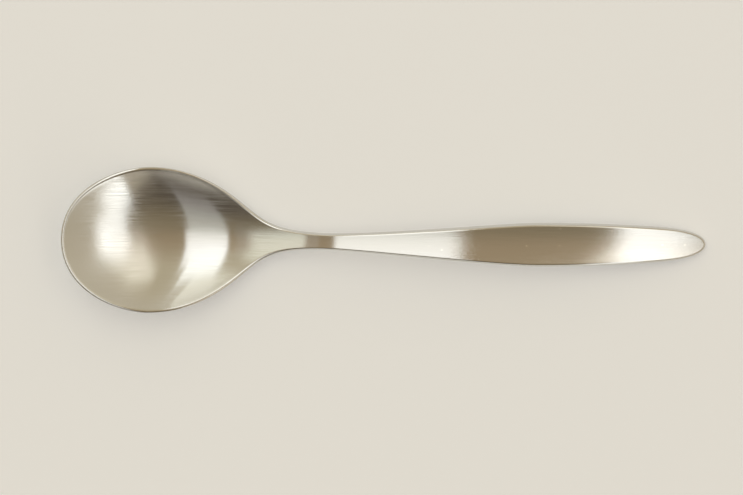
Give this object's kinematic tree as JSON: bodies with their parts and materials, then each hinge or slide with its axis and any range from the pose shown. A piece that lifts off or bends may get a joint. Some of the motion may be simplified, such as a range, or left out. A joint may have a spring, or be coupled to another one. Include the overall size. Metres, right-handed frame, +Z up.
{
  "type": "coffee spoon",
  "caption": "Small egg-shaped bowl on a slender arched handle that widens towards a rounded end, in satin steel.",
  "frame": {"origin": "middle of the space the spoon takes up, at the height of the table it lies on", "axes": "+X along the spoon from the bowl to the handle's tip, +Z up out of the bowl, the spoon is symmetric about the XZ plane"},
  "size_m": [0.135, 0.0306, 0.0098],
  "materials": {
    "satin_steel": "satin, brushed lengthways"
  },
  "bodies": {
    "root": {"spoon": "satin_steel"}
  },
  "joints": []
}
